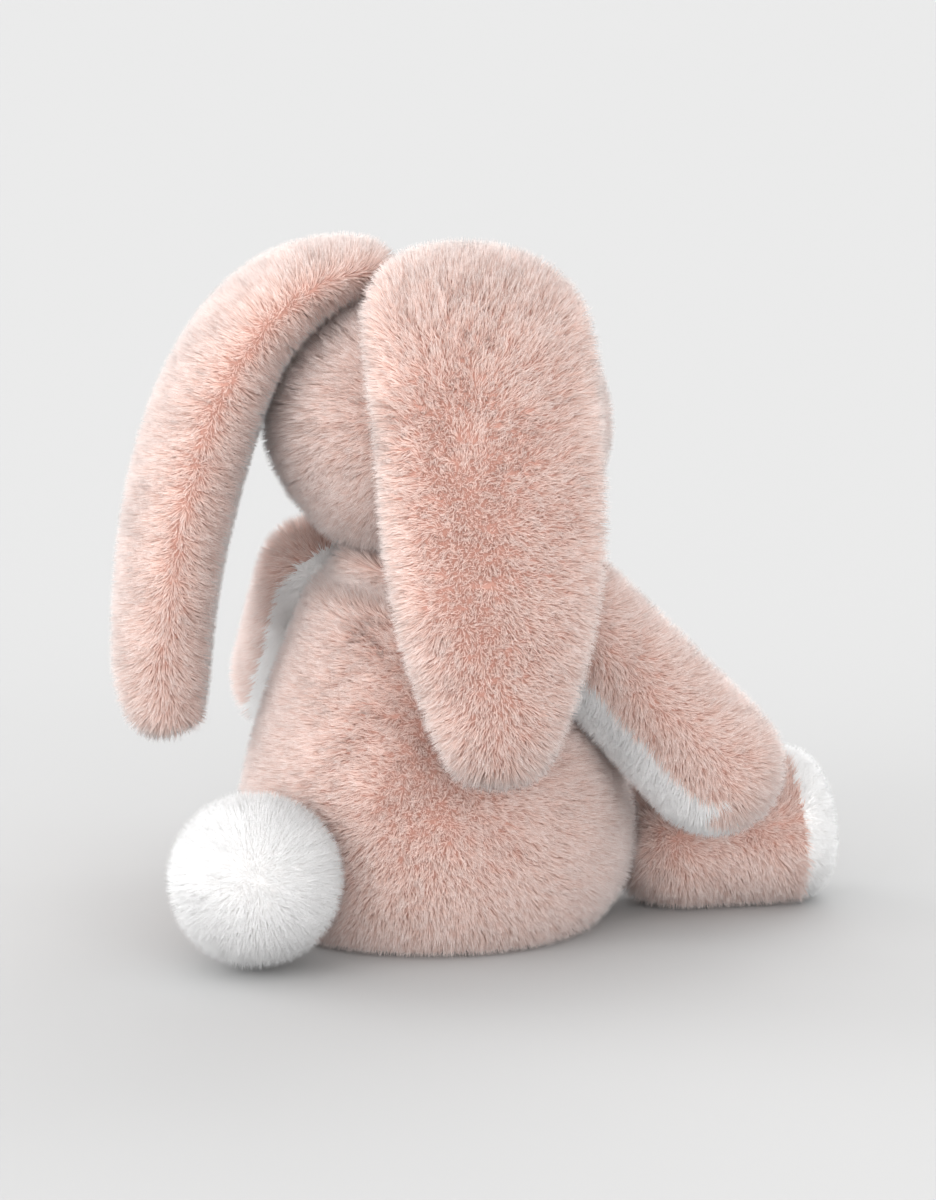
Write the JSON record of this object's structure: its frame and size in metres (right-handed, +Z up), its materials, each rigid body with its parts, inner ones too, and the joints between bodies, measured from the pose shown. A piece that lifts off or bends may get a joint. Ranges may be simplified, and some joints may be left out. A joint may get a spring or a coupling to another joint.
{
  "type": "stuffed bunny rabbit",
  "caption": "Seated plush bunny in long dusty-pink fur, with hanging ears, white inner arms and soles, and a round white pompom tail.",
  "frame": {"origin": "centre of the flat base panel, on the surface the toy sits on", "axes": "+Z up, the toy faces -Y, its left side is +X"},
  "size_m": [0.2405, 0.2496, 0.2367],
  "materials": {
    "pink_fur": "dusty pink faux fur, 9 mm pile",
    "white_fur": "white faux fur",
    "pale_lining": "pale short-pile plush",
    "filling": "polyester fibre filling",
    "pouch_cloth": "plain woven cotton",
    "washer_plastic": "moulded white plastic",
    "eye_plastic": "polished black",
    "thread": "satin-stitched rose thread"
  },
  "bodies": {
    "torso": {"base_panel": "pink_fur", "torso_back_left": "pink_fur", "torso_back_right": "pink_fur", "belly_panel": "pink_fur", "torso_stuffing": "filling", "bean_pouch": "pouch_cloth"},
    "neck": {"neck_gather": "pink_fur"},
    "head": {"head_side_left": "pink_fur", "head_side_right": "pink_fur", "head_gusset": "pink_fur", "head_stuffing": "filling", "eye_left": "eye_plastic", "eye_right": "eye_plastic", "eye_washer_left": "washer_plastic", "eye_washer_right": "washer_plastic", "nose_stitching": "thread", "mouth_stitching": "thread"},
    "tail": {"tail_cover": "white_fur", "tail_stuffing": "filling"},
    "ear_left": {"ear_back_left": "pink_fur", "ear_lining_left": "pale_lining", "ear_batting_left": "filling"},
    "arm_left": {"arm_outer_left": "pink_fur", "arm_inner_left": "white_fur", "arm_stuffing_left": "filling"},
    "leg_left": {"leg_outer_left": "pink_fur", "leg_inner_left": "pink_fur", "sole_left": "white_fur", "leg_stuffing_left": "filling"},
    "ear_right": {"ear_back_right": "pink_fur", "ear_lining_right": "pale_lining", "ear_batting_right": "filling"},
    "arm_right": {"arm_outer_right": "pink_fur", "arm_inner_right": "white_fur", "arm_stuffing_right": "filling"},
    "leg_right": {"leg_outer_right": "pink_fur", "leg_inner_right": "pink_fur", "sole_right": "white_fur", "leg_stuffing_right": "filling"}
  },
  "joints": [
    {"name": "neck_turn", "type": "hinge", "parent": "torso", "child": "neck", "pos_m": [0, -0.005, 0.118], "axis": [0, 0, 1], "range_deg": [-20, 20], "stiffness_Nm_per_rad": 0.6},
    {"name": "neck_nod", "type": "hinge", "parent": "neck", "child": "head", "pos_m": [0, -0.005, 0.1316], "axis": [1, 0, 0], "range_deg": [-12, 12], "stiffness_Nm_per_rad": 1.2},
    {"name": "tail_wag", "type": "hinge", "parent": "torso", "child": "tail", "pos_m": [-0.0063, 0.068, 0.031], "axis": [0, 0, 1], "range_deg": [-12, 12], "stiffness_Nm_per_rad": 0.1},
    {"name": "ear_left_flap", "type": "hinge", "parent": "head", "child": "ear_left", "pos_m": [0.01354, 0.01234, 0.2295], "axis": [0.788, -0.6157, 0], "range_deg": [0, 75]},
    {"name": "arm_left_swing", "type": "hinge", "parent": "torso", "child": "arm_left", "pos_m": [0.062, -0.003, 0.116], "axis": [-0.8576, 0, -0.5143], "range_deg": [-10, 75], "stiffness_Nm_per_rad": 0.5},
    {"name": "leg_left_splay", "type": "hinge", "parent": "torso", "child": "leg_left", "pos_m": [0.048, -0.078, 0.024], "axis": [0, 0, 1], "range_deg": [-12, 12], "stiffness_Nm_per_rad": 0.3},
    {"name": "ear_right_flap", "type": "hinge", "parent": "head", "child": "ear_right", "pos_m": [-0.01824, 0.0073, 0.2295], "axis": [0.5592, 0.829, 0], "range_deg": [0, 75]},
    {"name": "arm_right_swing", "type": "hinge", "parent": "torso", "child": "arm_right", "pos_m": [-0.062, -0.003, 0.116], "axis": [-0.8576, 0, 0.5143], "range_deg": [-10, 75], "stiffness_Nm_per_rad": 0.5},
    {"name": "leg_right_splay", "type": "hinge", "parent": "torso", "child": "leg_right", "pos_m": [-0.048, -0.078, 0.024], "axis": [0, 0, -1], "range_deg": [-12, 12], "stiffness_Nm_per_rad": 0.3}
  ]
}
